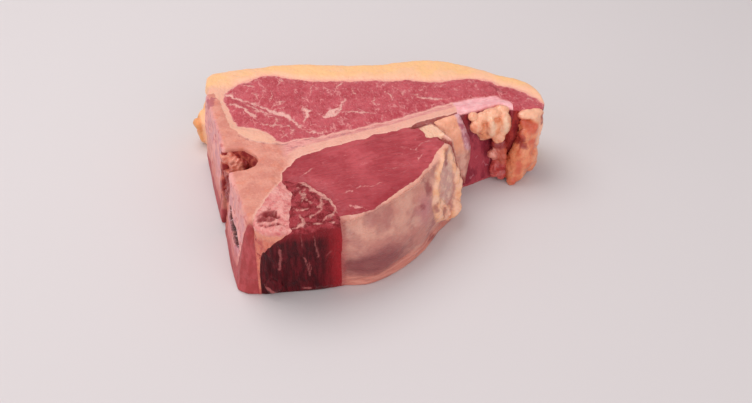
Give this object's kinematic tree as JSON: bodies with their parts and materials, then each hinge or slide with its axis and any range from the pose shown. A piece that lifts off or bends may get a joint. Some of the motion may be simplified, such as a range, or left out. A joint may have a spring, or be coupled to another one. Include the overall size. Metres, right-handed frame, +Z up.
{
  "type": "raw t-bone steak",
  "caption": "Thick raw beef steak on the bone, with red muscle either side of a T-shaped bone, yellow back fat, a silverskin side and loose suet, lying on a cut face.",
  "frame": {"origin": "under the middle of the whole steak, on the level it lies on", "axes": "+X from the sawn chine bone towards the tail, +Y from the fillet side towards the back fat, +Z up through the thickness"},
  "size_m": [0.2258, 0.1876, 0.0553],
  "materials": {
    "bone": "sawn bone, damp and slightly rough",
    "cartilage": "smooth damp cartilage",
    "lean_top": "freshly cut red muscle, moist satin",
    "lean_fillet": "freshly cut fine-grained red muscle, moist satin",
    "lean_side": "dark wine-red muscle, moist",
    "cap_fat": "firm yellow-orange fat, satin",
    "soft_fat": "peach suet, lumpy and moist",
    "pink_fat": "pink fat and gristle over bone, moist",
    "membrane": "silverskin over fat, glossy and translucent"
  },
  "bodies": {
    "root": {"cartilage_tip": "cartilage", "chine_fat": "pink_fat", "chine_muscle": "lean_top", "fat_cap": "cap_fat", "fat_nugget": "soft_fat", "fat_wedge": "soft_fat", "fillet_coat": "membrane", "flank_strip": "lean_side", "side_muscle": "lean_side", "strip_loin": "lean_top", "suet_lump": "soft_fat", "suet_stem": "pink_fat", "t_bone": "bone", "tail_fat": "soft_fat", "tenderloin": "lean_fillet"}
  },
  "joints": []
}
